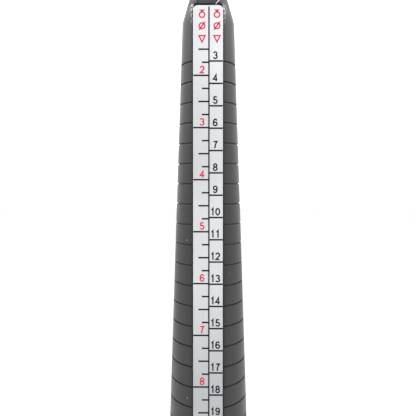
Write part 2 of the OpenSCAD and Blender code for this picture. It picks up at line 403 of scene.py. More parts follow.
def strip_frame(back):
    """Stands a flat piece on the crown line: its X across, its Y up the strip from the
    shoulder and its Z out of the surface."""
    turn = Matrix.Rotation(math.pi if back else 0, 4, "Z")
    place = Matrix.Translation((0, -taper_radius(SHOULDER_Z), SHOULDER_Z))
    return turn @ place @ Matrix.Rotation(math.pi / 2 - LEAN, 4, "X")


def plate_outline(half, low, high, corner, inset, steps=7):
    half, low, high, corner = half - inset, low + inset, high - inset, corner - inset
    centres = [(half - corner, high - corner), (corner - half, high - corner),
               (corner - half, low + corner), (half - corner, low + corner)]
    points = []
    for quarter, centre in enumerate(centres):
        points += rounded(centre, corner, 90 * quarter, 90 * quarter + 90, steps)
    return points


def make_strip(name, back):
    """A thin strip with rounded corners and softly broken edges."""
    edge, top, bottom = STRIP_EDGE, -STRIP_SINK, -STRIP_SINK - STRIP_THICKNESS
    levels = [(bottom, edge), (bottom + edge, 0),
              (top - edge, 0), (top - edge * 0.3, edge * 0.3), (top, edge)]
    rings = []
    for level, inset in levels:
        outline = plate_outline(STRIP_WIDTH / 2, STRIP_LOW, STRIP_HIGH, STRIP_CORNER, inset)
        rings.append([(x, y, level) for x, y in outline])
    strip = loft(name, rings, sharp_angle=50)
    strip.data.transform(strip_frame(back))
    return strip


# ---------------------------------------- node helpers
FLOAT, GEOMETRY = "NodeSocketFloat", "NodeSocketGeometry"
# The colour sockets among a mix node's typed ones
MIX_FIRST, MIX_SECOND, MIX_RESULT = 6, 7, 2


class Wiring:
    """Short calls for the nodes that the trees share."""

    def __init__(self, tree):
        self.tree, self.add, self.link = tree, tree.nodes.new, tree.links.new

    def put(self, value, socket):
        if hasattr(value, "is_output"):
            self.link(value, socket)
        else:
            socket.default_value = value

    def maths(self, operation, *values, clamp=False):
        node = self.add("ShaderNodeMath")
        node.operation = operation
        node.use_clamp = clamp
        for socket, value in zip(node.inputs, values):
            self.put(value, socket)
        return node.outputs[0]

    def times(self, *values):
        product = values[0]
        for value in values[1:]:
            product = self.maths("MULTIPLY", product, value)
        return product

    def vector(self, *values):
        node = self.add("ShaderNodeCombineXYZ")
        for socket, value in zip(node.inputs, values):
            self.put(value, socket)
        return node.outputs[0]

    def split(self, point):
        node = self.add("ShaderNodeSeparateXYZ")
        self.link(point, node.inputs[0])
        return node.outputs

    def remap(self, value, low, high, to_low=0.0, to_high=1.0, kind="LINEAR"):
        node = self.add("ShaderNodeMapRange")
        node.interpolation_type = kind
        self.put(value, node.inputs["Value"])
        for label, number in (("From Min", low), ("From Max", high),
                              ("To Min", to_low), ("To Max", to_high)):
            self.put(number, node.inputs[label])
        return node.outputs["Result"]

    def object_point(self, scale=(1, 1, 1)):
        place = self.add("ShaderNodeTexCoord")
        mapping = self.add("ShaderNodeMapping")
        mapping.inputs["Scale"].default_value = scale
        self.link(place.outputs["Object"], mapping.inputs["Vector"])
        return mapping.outputs["Vector"]

    def axes(self):
        return self.split(self.object_point())

    def noise(self, point, scale, detail=3.0, roughness=0.55):
        node = self.add("ShaderNodeTexNoise")
        self.link(point, node.inputs["Vector"])
        self.put(scale, node.inputs["Scale"])
        node.inputs["Detail"].default_value = detail
        node.inputs["Roughness"].default_value = roughness
        return node.outputs["Fac"]

    def mix(self, share, first, second):
        node = self.add("ShaderNodeMix")
        node.data_type = "RGBA"
        self.put(share, node.inputs["Factor"])
        self.put(first, node.inputs[MIX_FIRST])
        self.put(second, node.inputs[MIX_SECOND])
        return node.outputs[MIX_RESULT]

    def use(self, group, **values):
        node = self.add("ShaderNodeGroup")
        node.node_tree = group
        for label, value in values.items():
            self.put(value, node.inputs[label.replace("_", " ")])
        return node.outputs


def new_tree(name, kind, inputs, outputs):
    """A node tree with named sockets, as its wiring, its given values and its results. An input
    is (label, kind of socket, default or None)."""
    tree = bpy.data.node_groups.new(name, kind)
    for label, socket_kind, value in inputs:
        socket = tree.interface.new_socket(label, in_out="INPUT", socket_type=socket_kind)
        if value is not None:
            socket.default_value = value
    for label, socket_kind in outputs:
        tree.interface.new_socket(label, in_out="OUTPUT", socket_type=socket_kind)
    given, out = tree.nodes.new("NodeGroupInput"), tree.nodes.new("NodeGroupOutput")
    return Wiring(tree), given.outputs, out.inputs


def run_nodes(source, tree, **values):
    """Applies a geometry node tree to an object and returns the plain mesh it makes."""
    sockets = {item.name: item.identifier for item in tree.interface.items_tree
               if item.item_type == "SOCKET" and item.in_out == "INPUT"}
    modifier = source.modifiers.new(tree.name, "NODES")
    modifier.node_group = tree
    for label, value in values.items():
        modifier[sockets[label.replace("_", " ")]] = value
    bpy.context.view_layer.update()
    evaluated = source.evaluated_get(bpy.context.evaluated_depsgraph_get())
    mesh = bpy.data.meshes.new_from_object(evaluated)
    source.modifiers.remove(modifier)
    return mesh


# ---------------------------------------- printing on the strips
INK_THICKNESS = 0.015 * MM
LINE = 0.36 * MM
DIVIDER_LINE = 0.324 * MM
DIVIDER_STOP = 0.35 * MM
PEN = 0.31 * MM
HALF_TICK = 2.4 * MM
QUARTER_TICK = 1.6 * MM
DIGIT_HEIGHT = 1.68 * MM
DIGIT_ADVANCE = 1.16 * MM
DIGIT_GAP = 0.48 * MM
PRINT_MARGIN = 0.05 * MM
PRINT_DROP = 0.36 * MM
PRINT_EDGE = STRIP_WIDTH / 2 - PRINT_MARGIN
DIVIDER_X = -STRIP_WIDTH / 2 + 3.61 * MM
LEFT_NUMERAL_X = -STRIP_WIDTH / 2 + 2.06 * MM
RIGHT_NUMERAL_X = DIVIDER_X + 1.44 * MM
HEADING_XS = (-STRIP_WIDTH / 2 + 2.03 * MM, DIVIDER_X + 1.82 * MM)
HEADING_DROPS = (1.94 * MM, 4.69 * MM, 7.59 * MM)
HEADING_HEIGHT = 1.85 * MM


def us_diameter(size):
    return (11.62 + 0.8128 * size) * MM


def hk_diameter(size):
    return (14.068 + 0.3483 * (size - 6)) * MM


def jp_diameter(size):
    return (13 + (size - 1) / 3) * MM


def eu_diameter(size):
    return size * MM / math.pi


def strip_y(diameter):
    """Where a size of that diameter falls on the strip, up from the shoulder."""
    return (height_of_diameter(diameter) - SHOULDER_Z) / math.cos(LEAN) - PRINT_DROP


def make_tick_tree():
    """Geometry nodes for a row of equal printed lines, one below the other."""
    lengths = ("Left", "Right", "First", "Step", "Line width", "Ink thickness")
    w, given, out = new_tree(
        "printed_lines", "GeometryNodeTree",
        [("Count", "NodeSocketInt", None)] + [(label, FLOAT, None) for label in lengths]
        + [("Ink", "NodeSocketMaterial", None)], [("Lines", GEOMETRY)])
    middle = w.times(w.maths("ADD", given["Left"], given["Right"]), 0.5)
    length = w.maths("SUBTRACT", given["Right"], given["Left"])
    height = w.times(given["Ink thickness"], 0.5)
    row = w.add("GeometryNodeMeshLine")
    row.mode = "OFFSET"
    w.link(given["Count"], row.inputs["Count"])
    w.link(w.vector(middle, given["First"], height), row.inputs["Start Location"])
    w.link(w.vector(0.0, given["Step"], 0.0), row.inputs["Offset"])
    bar = w.add("GeometryNodeMeshCube")
    w.link(w.vector(length, given["Line width"], given["Ink thickness"]), bar.inputs["Size"])
    copies = w.add("GeometryNodeInstanceOnPoints")
    w.link(row.outputs["Mesh"], copies.inputs["Points"])
    w.link(bar.outputs["Mesh"], copies.inputs["Instance"])
    real = w.add("GeometryNodeRealizeInstances")
    w.link(copies.outputs["Instances"], real.inputs["Geometry"])
    painted = w.add("GeometryNodeSetMaterial")
    w.link(real.outputs["Geometry"], painted.inputs["Geometry"])
    w.link(given["Ink"], painted.inputs["Material"])
    w.link(painted.outputs["Geometry"], out["Lines"])
    return w.tree


def printed_lines(ink, left, right, diameter_of, first, last, step=1.0):
    """Lines across part of the strip, one for each size from first to last."""
    count = int(round((last - first) / step)) + 1
    start, second = strip_y(diameter_of(first)), strip_y(diameter_of(first + step))
    seed = add_object("seed", bpy.data.meshes.new("seed"))
    mesh = run_nodes(seed, TICKS, Count=count, Left=left, Right=right, First=start,
                     Step=second - start, Line_width=LINE, Ink_thickness=INK_THICKNESS, Ink=ink)
    bpy.data.objects.remove(seed)
    return mesh


def arc(x, y, across, up, start, end, steps=14):
    """Points of part of an ellipse, between two angles in degrees."""
    angles = [math.radians(start + (end - start) * i / steps) for i in range(steps + 1)]
    return [(x + across * math.cos(a), y + up * math.sin(a)) for a in angles]


# Each numeral as strokes of the pen, (points, closed), in a box one unit high on its baseline
NUMERALS = {
    "0": [(arc(0, 0.5, 0.25, 0.43, 0, 350, 27), True)],
    "1": [([(-0.17, 0.76), (-0.06, 0.82), (0.04, 0.94), (0.04, 0.0)], False)],
    "2": [(arc(0, 0.67, 0.235, 0.26, 172, -38) + [(-0.235, 0.065), (0.26, 0.065)], False)],
    "3": [(arc(-0.01, 0.715, 0.21, 0.215, 165, -82), False),
          (arc(0, 0.285, 0.245, 0.225, 96, -165), False)],
    "4": [([(0.11, 0.0), (0.11, 0.9), (-0.26, 0.28), (0.28, 0.28)], False)],
    "5": [([(0.21, 0.93), (-0.15, 0.93), (-0.205, 0.49)], False),
          (arc(-0.005, 0.315, 0.245, 0.255, 142, -160), False)],
    "6": [(arc(0, 0.305, 0.235, 0.245, 0, 345, 23), True),
          (arc(0.01, 0.5, 0.25, 0.43, 35, 180) + [(-0.24, 0.32)], False)],
    "7": [([(-0.24, 0.935), (0.235, 0.935), (0.1, 0.72), (0.0, 0.45), (-0.06, 0.0)], False)],
    "8": [(arc(0, 0.725, 0.2, 0.21, 0, 345, 23), True),
          (arc(0, 0.285, 0.24, 0.225, 0, 345, 23), True)],
    "9": [(arc(0, 0.695, 0.235, 0.245, 0, 345, 23), True),
          (arc(-0.01, 0.5, 0.25, 0.43, 215, 360) + [(0.24, 0.68)], False)],
}
SHARPEST_MITRE = 0.35


def ribbon(points, width, closed):
    """A flat printed stroke of one width along a line of points."""
    built = bmesh.new()
    count = len(points)
    pairs = []
    for i, (x, y) in enumerate(points):
        before = points[(i - 1) % count] if closed or i > 0 else points[i]
        after = points[(i + 1) % count] if closed or i < count - 1 else points[i]
        along_in = Vector((x - before[0], y - before[1]))
        along_out = Vector((after[0] - x, after[1] - y))
        # An open end has a length of zero on one side, and takes its direction from the other
        along_in, along_out = along_in if along_in.length else along_out, (
            along_out if along_out.length else along_in)
        along = (along_in.normalized() + along_out.normalized()).normalized()
        side = Vector((-along.y, along.x))
        square = abs(side.dot(Vector((-along_out.y, along_out.x)).normalized()))
        offset = side * (width / 2 / max(SHARPEST_MITRE, square))
        pairs.append((built.verts.new((x + offset.x, y + offset.y, 0)),
                      built.verts.new((x - offset.x, y - offset.y, 0))))
    for i in range(count if closed else count - 1):
        j = (i + 1) % count
        built.faces.new((pairs[i][0], pairs[i][1], pairs[j][1], pairs[j][0]))
    raised = bmesh.ops.extrude_face_region(built, geom=built.faces[:])
    tops = [item for item in raised["geom"] if isinstance(item, bmesh.types.BMVert)]
    bmesh.ops.translate(built, verts=tops, vec=(0, 0, INK_THICKNESS))
    bmesh.ops.recalc_face_normals(built, faces=built.faces)
    mesh = bpy.data.meshes.new("stroke")
    built.to_mesh(mesh)
    built.free()
    return mesh


def digit_meshes():
    """The ten numerals as high as the print's."""
    digits = {}
    for sign, strokes in NUMERALS.items():
        parts = []
        for points, closed in strokes:
            scaled = [(x * DIGIT_HEIGHT, y * DIGIT_HEIGHT) for x, y in points]
            parts.append(ribbon(scaled, PEN, closed))
        digits[sign] = join("digit", parts)
    return digits


def printed_numbers(sizes, diameter_of, x):
    """Each whole size's number, just above its line."""
    parts = []
    for size in sizes:
        label = str(size)
        y = strip_y(diameter_of(size)) + DIGIT_GAP
        for place, sign in enumerate(label):
            copy = DIGITS[sign].copy()
            shift = (place - (len(label) - 1) / 2) * DIGIT_ADVANCE
            copy.transform(Matrix.Translation((x + shift, y, 0)))
            parts.append(copy)
    return join("numbers", parts)


def circle_points(x, y, radius, steps=28):
    turns = [2 * math.pi * i / steps for i in range(steps)]
    return [(x + radius * math.cos(a), y + radius * math.sin(a)) for a in turns]


def heading_pictograms():
    """Three generic signs over each column: a ring with a stone, a diameter sign and a
    triangle that points down the scale."""
    ring_y, sign_y, triangle_y = (STRIP_HIGH - drop for drop in HEADING_DROPS)
    ring_y -= HEADING_HEIGHT * 0.13
    ring_radius = HEADING_HEIGHT * 0.33
    stone = HEADING_HEIGHT * 0.2
    stone_y = ring_y + ring_radius + stone * 0.72
    stone_top, stone_foot = stone_y + stone * 0.45, stone_y - stone * 0.5
    slash = HEADING_HEIGHT * 0.5
    lean = slash * 0.72
    wide = HEADING_HEIGHT * 0.38
    above, below = triangle_y + HEADING_HEIGHT * 0.36, triangle_y - HEADING_HEIGHT * 0.42
    parts = []
    for x in HEADING_XS:
        parts += [
            ribbon(circle_points(x, ring_y, ring_radius), PEN, True),
            ribbon([(x - stone, stone_top), (x, stone_foot), (x + stone, stone_top)],
                   PEN * 0.8, True),
            ribbon(circle_points(x, sign_y, HEADING_HEIGHT * 0.35), PEN, True),
            ribbon([(x - lean, sign_y - slash), (x + lean, sign_y + slash)], PEN, False),
            ribbon([(x - wide, above), (x, below), (x + wide, above)], PEN, True),
        ]
    return join("pictograms", parts)


def finish_print(name, mesh, ink, back):
    """Places flat printing on its strip and hands it over as a piece."""
    mesh.name = name
    paint(mesh, ink)
    mesh.transform(strip_frame(back) @ Matrix.Translation((0, 0, -STRIP_SINK)))
    piece = add_object(name, mesh)
    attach(piece, "root")


def print_scale(side, back, left_scale, right_scale):
    """All the printing on one strip. A scale is (diameter function, first, last), and the left
    one also has the size where its half and quarter lines start, or None."""
    ink = INKS["dark"]
    dark = [ribbon([(DIVIDER_X, STRIP_LOW + DIVIDER_STOP), (DIVIDER_X, STRIP_HIGH - DIVIDER_STOP)],
                   DIVIDER_LINE, False)]
    diameter_of, first, last, parts_from = left_scale
    dark.append(printed_lines(ink, -PRINT_EDGE, DIVIDER_X, diameter_of, first, last))
    if parts_from:
        dark.append(printed_lines(ink, DIVIDER_X - HALF_TICK, DIVIDER_X, diameter_of,
                                  parts_from, last - 0.5))
        dark.append(printed_lines(ink, DIVIDER_X - QUARTER_TICK, DIVIDER_X, diameter_of,
                                  parts_from + 0.25, last - 0.25, 0.5))
    left_numbers = printed_numbers(range(first, last + 1), diameter_of, LEFT_NUMERAL_X)
    diameter_of, first, last = right_scale
    dark.append(printed_lines(ink, DIVIDER_X, PRINT_EDGE, diameter_of, first, last))
    right_numbers = printed_numbers(range(first, last + 1), diameter_of, RIGHT_NUMERAL_X)
    finish_print(f"{side}_scale_lines", join("lines", dark), ink, back)
    finish_print(f"{side}_left_numbers", left_numbers, INKS["red"], back)
    finish_print(f"{side}_right_numbers", right_numbers, ink, back)
    finish_print(f"{side}_headings", heading_pictograms(), INKS["red"], back)


# ---------------------------------------- handle and cap
FLUTE_RUN_OUT = 3.5 * MM
SKIN_SHARE = 0.97  # of the outer radius, outside of which the sleeve takes the flutes
SOCKET_RADIUS, SOCKET_DEPTH, SOCKET_EDGE = 0.9 * MM, 0.25 * MM, 0.2 * MM
CAP_CENTRE = 0.4 * MM


def make_flute_tree():
    """Geometry nodes that press long flutes into the outside of a turned sleeve."""
    lengths = ("Count", "Depth", "Outer radius", "Low end", "High end", "Run out")
    w, given, out = new_tree(
        "pressed_flutes", "GeometryNodeTree",
        [("Sleeve", GEOMETRY, None)] + [(label, FLOAT, None) for label in lengths],
        [("Sleeve", GEOMETRY)])
    x, y, z = w.split(w.add("GeometryNodeInputPosition").outputs[0])
    radius = w.maths("SQRT", w.maths("ADD", w.times(x, x), w.times(y, y)))
    wave = w.maths("COSINE", w.times(w.maths("ARCTAN2", y, x), given["Count"]))
    hollow = w.remap(w.times(wave, -1.0), -0.35, 1.0, kind="SMOOTHSTEP")
    low_stop = w.maths("ADD", given["Low end"], given["Run out"])
    high_stop = w.maths("SUBTRACT", given["High end"], given["Run out"])
    above = w.remap(z, given["Low end"], low_stop, kind="SMOOTHSTEP")
    below = w.remap(z, high_stop, given["High end"], 1.0, 0.0, kind="SMOOTHSTEP")
    skin = w.maths("GREATER_THAN", radius, w.times(given["Outer radius"], SKIN_SHARE))
    depth = w.times(hollow, given["Depth"], above, below, skin)
    share = w.times(w.maths("DIVIDE", depth, radius), -1.0)
    moved = w.add("GeometryNodeSetPosition")
    w.link(given["Sleeve"], moved.inputs["Geometry"])
    w.link(w.vector(w.times(x, share), w.times(y, share), 0.0), moved.inputs["Offset"])
    w.link(moved.outputs[0], out["Sleeve"])
    return w.tree


def make_handle(steps=64):
    r = HANDLE_RADIUS
    bore = TAIL_RADIUS + FIT_PLAY
    low, high = CAP_TOP + PARTING_EDGE, SEAT_Z - HANDLE_ROUNDING
    outline = [(CAP_BORE_RADIUS, CAP_TOP), (r - PARTING_EDGE, CAP_TOP)]
    outline += rounded((r - PARTING_EDGE, low), PARTING_EDGE, -90, 0, 4)[1:]
    outline += [(r, low + (high - low) * i / steps) for i in range(1, steps)]
    outline += rounded((r - HANDLE_ROUNDING, high), HANDLE_ROUNDING, 0, 90, 8)
    outline += [(bore, SEAT_Z), (bore, TAIL_BOTTOM), (SCREW_HOLE_RADIUS, TAIL_BOTTOM),
                (SCREW_HOLE_RADIUS, WASHER_TOP), (CAP_BORE_RADIUS, WASHER_TOP)]
    handle = revolve("handle", outline, closed_tube=True)
    handle.data = run_nodes(
        handle, make_flute_tree(), Count=float(FLUTES), Depth=FLUTE_DEPTH, Outer_radius=r,
        Low_end=CAP_TOP + FLUTE_MARGIN, High_end=SEAT_Z - FLUTE_MARGIN, Run_out=FLUTE_RUN_OUT)
    handle.data.set_sharp_from_angle(angle=math.radians(32))
    return handle


def make_cap():
    r = HANDLE_RADIUS
    skirt = CAP_BORE_RADIUS - FIT_PLAY
    skirt_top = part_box("end_cap")[1].z
    outline = [(CAP_CENTRE, SOCKET_DEPTH), (SOCKET_RADIUS, SOCKET_DEPTH),
               (SOCKET_RADIUS + SOCKET_EDGE, 0.0)]
    outline += rounded((r - CAP_ROUNDING, CAP_ROUNDING), CAP_ROUNDING, -90, 0, 8)
    outline += rounded((r - PARTING_EDGE, CAP_TOP - PARTING_EDGE), PARTING_EDGE, 0, 90, 4)
    outline += [(skirt, CAP_TOP), (skirt, skirt_top), (skirt - SKIRT_WALL, skirt_top),
                (skirt - SKIRT_WALL, CAP_TOP), (CAP_CENTRE, CAP_TOP)]
    return revolve("end_cap_shell", outline)


# ---------------------------------------- shader groups
DOT_RADIUS = 0.11  # of a speck, in cells
DUSTY_CELLS = 0.3
RIM_MARK_CORE, RIM_MARK_EDGE = 0.18 * MM, 0.42 * MM
WOBBLE = 0.2 * MM
DARKENING_FADE = 24 * MM
UPPER_BAND_HALF = 17 * MM
UPPER_BAND_SHARE = 0.3


def shader_group(name, inputs, outputs):
    return new_tree(name, "ShaderNodeTree", [(label, FLOAT, value) for label, value in inputs],
                    [(label, FLOAT) for label in outputs])


def make_moulded_grain():
    """Fine spark-eroded texture of a plastic mould, with slow waves of gloss."""
    w, given, out = shader_group(
        "moulded_grain",
        [("Grain size", 9000.0), ("Low roughness", 0.3), ("High roughness", 0.45)],
        ["Height", "Roughness", "Cloud"])
    w.link(w.noise(w.object_point(), given["Grain size"], 2.0), out["Height"])
    cloud = w.noise(w.object_point((1, 1, 0.35)), 260.0, 4.0)
    w.link(cloud, out["Cloud"])
    w.link(w.remap(cloud, 0.32, 0.68, given["Low roughness"], given["High roughness"]),
           out["Roughness"])
    return w.tree


def make_dust():
    """Specks of dust, each a small irregular dot."""
    w, given, out = shader_group("dust_specks", [("Scale", 900.0), ("Amount", 0.5)], ["Mask"])
    cells = w.add("ShaderNodeTexVoronoi")
    w.link(w.object_point(), cells.inputs["Vector"])
    w.link(given["Scale"], cells.inputs["Scale"])
    cells.inputs["Randomness"].default_value = 1.0
    near = w.maths("LESS_THAN", cells.outputs["Distance"], DOT_RADIUS)
    pick = w.add("ShaderNodeSeparateColor")
    w.link(cells.outputs["Color"], pick.inputs[0])
    chosen = w.maths("LESS_THAN", pick.outputs[0], w.times(given["Amount"], DUSTY_CELLS))
    w.link(w.times(near, chosen), out["Mask"])
    return w.tree


def make_ring_rub():
    """Faint bright rubs that rings leave round the stick."""
    w, given, out = shader_group("ring_rub", [("Amount", 0.5)], ["Mask", "Height"])
    bands = w.noise(w.object_point((40, 40, 5200)), 1.0, 4.0, 0.7)
    patches = w.noise(w.object_point(), 220.0, 3.0)
    rubs = w.times(w.remap(bands, 0.58, 0.74), w.remap(patches, 0.48, 0.66))
    w.link(w.maths("MULTIPLY", rubs, given["Amount"], clamp=True), out["Mask"])
    w.link(bands, out["Height"])
    return w.tree


def make_long_brushing():
    """Hair lines of brushing that run up a strip, and slower streaks among them."""
    w, given, out = shader_group(
        "long_brushing", [("Low roughness", 0.25), ("High roughness", 0.5)],
        ["Height", "Roughness", "Streak"])
    hair = w.noise(w.object_point((1, 1, 0.006)), 16000.0, 3.0, 0.7)
    streak = w.noise(w.object_point((1, 1, 0.02)), 2600.0, 3.0)
    w.link(w.maths("ADD", w.times(hair, 0.7), w.times(streak, 0.3)), out["Height"])
    w.link(streak, out["Streak"])
    w.link(w.remap(hair, 0.3, 0.7, given["Low roughness"], given["High roughness"]),
           out["Roughness"])
    return w.tree


def make_groove_shade():
    """Painted shade in the sizing grooves: a dark mask over each groove, weaker towards the small
    end.
    """
    w, given, out = shader_group(
        "groove_shade", [("First height", 0.2), ("Pitch", 0.005), ("Half width", 0.0002)],
        ["Mask"])
    down = w.maths("SUBTRACT", w.axes()["Z"], given["First height"])
    steps = w.maths("DIVIDE", down, given["Pitch"])
    nearest = w.maths("SUBTRACT", steps, w.maths("ROUND", steps))
    away = w.times(w.maths("ABSOLUTE", nearest), given["Pitch"])
    share = w.maths("SUBTRACT", 1.25, w.maths("DIVIDE", away, given["Half width"]), clamp=True)
    below_first = w.maths("LESS_THAN", steps, 0.5)
    # The painted shade fades to a quarter of its strength towards the first groove, at the small
    # end.
    darkening_weight = w.remap(steps, -20.0, 0.0, 1.0, 0.25)
    w.link(w.times(share, below_first, darkening_weight), out["Mask"])
    return w.tree


def make_rim_wear():
    """Pale chips along the recess's rim round a strip's top end, where rings knock it, together
    with a painted highlight on the rim's edges there.
    """
    w, given, out = shader_group(
        "rim_chips_and_highlight", [("Half width", 0.0037), ("Low end", 0.24), ("High end", 0.248)], ["Mask"])
    x, _, z = w.axes()
    away = w.maths("ABSOLUTE", w.maths("SUBTRACT", w.maths("ABSOLUTE", x), given["Half width"]))
    beside = w.remap(away, RIM_MARK_CORE, RIM_MARK_EDGE, 1.0, 0.0)
    above = w.remap(z, given["Low end"], w.maths("ADD", given["Low end"], 3 * MM))
    under = w.maths("LESS_THAN", z, given["High end"])
    chips_and_highlight = w.remap(w.noise(w.object_point((1, 1, 0.6)), 2200.0, 4.0, 0.7), 0.46, 0.56)
    w.link(w.times(beside, above, under, chips_and_highlight), out["Mask"])
    return w.tree


def make_scratch():
    """One hair-thin slanting scratch on the front."""
    w, given, out = shader_group(
        "scratch", [("Foot X", 0.0), ("Foot Z", 0.0), ("Lean", 0.5), ("Rise", 0.002),
                    ("Half width", 0.00006)], ["Mask"])
    x, y, z = w.axes()
    up = w.maths("SUBTRACT", z, given["Foot Z"])
    wobble = w.times(w.maths("SUBTRACT", w.noise(w.object_point(), 1500.0, 2.0), 0.5), WOBBLE)
    across = w.maths("SUBTRACT", w.maths("SUBTRACT", x, given["Foot X"]),
                     w.maths("ADD", w.times(up, given["Lean"]), wobble))
    thin = w.maths("LESS_THAN", w.maths("ABSOLUTE", across), given["Half width"])
    started = w.maths("GREATER_THAN", up, 0.0)
    ended = w.maths("LESS_THAN", up, given["Rise"])
    front = w.maths("LESS_THAN", y, 0.0)
    w.link(w.times(thin, started, ended, front), out["Mask"])
    return w.tree


def make_gap_shade():
    """Painted shade along both long edges of a strip's recess, where the gap beside the strip lies
    in shadow.
    """
    w, given, out = shader_group(
        "gap_shade", [("Half width", 0.0035), ("Reach", 0.0008), ("High end", 0.247)], ["Mask"])
    x, _, z = w.axes()
    away = w.maths("SUBTRACT", w.maths("ABSOLUTE", x), given["Half width"])
    beside = w.remap(away, 0.0, given["Reach"], 1.0, 0.0)
    w.link(w.times(beside, w.maths("LESS_THAN", z, given["High end"])), out["Mask"])
    return w.tree


def make_handled_bands():
    """Where a strip is darker: painted shade towards the handle end, for the darker reflection
    there, and a faint darker band higher up.
    """
    w, given, out = shader_group(
        "strip_darkening", [("Handle end", 0.16), ("Slide middle", 0.22)], ["Mask"])
    z = w.axes()["Z"]
    toward_handle = w.remap(w.maths("SUBTRACT", z, given["Handle end"]), 0.0, DARKENING_FADE, 1.0, 0.0)
    from_upper_band = w.maths("ABSOLUTE", w.maths("SUBTRACT", z, given["Slide middle"]))
    upper_band = w.remap(from_upper_band, UPPER_BAND_HALF / 2, UPPER_BAND_HALF, UPPER_BAND_SHARE, 0.0)
    w.link(w.maths("MAXIMUM", toward_handle, upper_band), out["Mask"])
    return w.tree


GRAIN, DUST, RUB = make_moulded_grain(), make_dust(), make_ring_rub()
GROOVE_SHADE, RIM_CHIPS_AND_HIGHLIGHT, SCRATCH = make_groove_shade(), make_rim_wear(), make_scratch()
BRUSHING, STRIP_DARKENING, GAP_SHADE = make_long_brushing(), make_handled_bands(), make_gap_shade()


# ---------------------------------------- materials
def grey(level, blue=None):
    return (level, level, level if blue is None else blue, 1)


def new_material(name, **constants):
    """A material with one Principled shader, whose fixed values are set on its own sockets."""
    material = bpy.data.materials.new(name)
    material.use_nodes = True
    shader = material.node_tree.nodes["Principled BSDF"]
    for label, value in constants.items():
        shader.inputs[label.replace("_", " ")].default_value = value
    return material, shader.inputs, Wiring(material.node_tree)


def bump(w, sockets, height, strength, distance):
    node = w.add("ShaderNodeBump")
    node.inputs["Strength"].default_value = strength
    node.inputs["Distance"].default_value = distance
    w.link(height, node.inputs["Height"])
    w.link(node.outputs["Normal"], sockets["Normal"])


def black_moulding(name, base, worn, low_roughness, high_roughness, rub_amount, scale_marks=False):
    """Satin black plastic: mould grain, rubs from rings and a little dust. scale_marks adds the
    mandrel's painted shade beside the strips and in the grooves, its chipped rim with a painted
    highlight along it, and its scratch."""
    material, sockets, w = new_material(name, IOR=1.5)
    grain = w.use(GRAIN, Low_roughness=low_roughness, High_roughness=high_roughness)
    rub = w.use(RUB, Amount=rub_amount)
    dust = w.use(DUST, Scale=620.0, Amount=0.5)
    paler = tuple(part * 1.35 for part in base[:3]) + (1,)
    colour = w.mix(w.remap(grain["Cloud"], 0.3, 0.7), base, paler)
    colour = w.mix(rub["Mask"], colour, worn)
    colour = w.mix(w.times(dust["Mask"], 0.55), colour, grey(0.3))
    roughness = w.maths("ADD", grain["Roughness"], w.times(rub["Mask"], 0.12))
    if scale_marks:
        groove_shading = w.use(GROOVE_SHADE, First_height=FIRST_GROOVE_Z - 0.08 * MM, Pitch=SIZE_PITCH,
                     Half_width=0.18 * MM)
        chips_and_highlight = w.use(RIM_CHIPS_AND_HIGHLIGHT, Half_width=RECESS_HALF + LIP, Low_end=SHOULDER_Z - 2 * MM,
                      High_end=SHOULDER_Z + RECESS_HIGH + 0.3 * MM)
        scratch = w.use(SCRATCH, Foot_X=1.55 * MM, Foot_Z=SHOULDER_Z + STRIP_RISE - 0.2 * MM,
                        Lean=0.6, Rise=3.0 * MM, Half_width=0.09 * MM)
        gap_shading = w.use(GAP_SHADE, Half_width=RECESS_HALF, Reach=0.9 * MM,
                    High_end=SHOULDER_Z + RECESS_HIGH)
        # Painted shade: the recess's long edges beside the strip darkened to near black.
        colour = w.mix(w.times(gap_shading["Mask"], 0.9), colour, grey(0.003))
        # Painted shade in the grooves: near-black colour, with more roughness below.
        colour = w.mix(groove_shading["Mask"], colour, grey(0.003))
        # Pale rim marks: partly chips, partly a painted highlight on the rim's edges.
        colour = w.mix(chips_and_highlight["Mask"], colour, (0.5, 0.51, 0.52, 1))
        colour = w.mix(scratch["Mask"], colour, grey(0.8))
        roughness = w.maths("ADD", roughness, w.times(groove_shading["Mask"], 0.4), clamp=True)
    w.link(colour, sockets["Base Color"])
    w.link(roughness, sockets["Roughness"])
    height = w.maths("ADD", w.times(grain["Height"], 0.6), w.times(rub["Height"], 0.4))
    bump(w, sockets, height, 0.12, 0.02 * MM)
    return material


def brushed_strip(name):
    """Bare aluminium brushed along the strip, a little dull, with painted shade towards the handle
    end.
    """
    material, sockets, w = new_material(name, Metallic=0.85)
    brushing = w.use(BRUSHING, Low_roughness=0.34, High_roughness=0.52)
    darkening_weight = w.use(STRIP_DARKENING, Handle_end=160 * MM, Slide_middle=218 * MM)
    smudge = w.remap(w.noise(w.object_point((1, 1, 0.4)), 480.0, 4.0), 0.35, 0.75)
    colour = w.mix(w.remap(brushing["Streak"], 0.3, 0.7),
                   (0.6, 0.61, 0.627, 1), (0.635, 0.645, 0.66, 1))
    colour = w.mix(w.times(smudge, 0.1), colour, grey(0.6))
    # Painted shade: the strip's colour darkened towards the handle end and in a faint band higher
    # up.
    colour = w.mix(darkening_weight["Mask"], colour, (0.44, 0.455, 0.465, 1))
    w.link(colour, sockets["Base Color"])
    w.link(w.maths("ADD", brushing["Roughness"], w.times(smudge, 0.06)), sockets["Roughness"])
    bump(w, sockets, brushing["Height"], 0.08, 0.01 * MM)
    return material


def printing_ink(name, colour, thin_colour):
    """Screen ink, slightly uneven in cover."""
    material, sockets, w = new_material(name, IOR=1.45, Specular_IOR_Level=0.15)
    cover = w.remap(w.noise(w.object_point(), 5200.0, 3.0, 0.6), 0.35, 0.72)
    w.link(w.mix(w.times(cover, 0.4), colour, thin_colour), sockets["Base Color"])
    w.link(w.remap(cover, 0.0, 1.0, 0.5, 0.65), sockets["Roughness"])
    bump(w, sockets, cover, 0.1, 0.004 * MM)
    return material


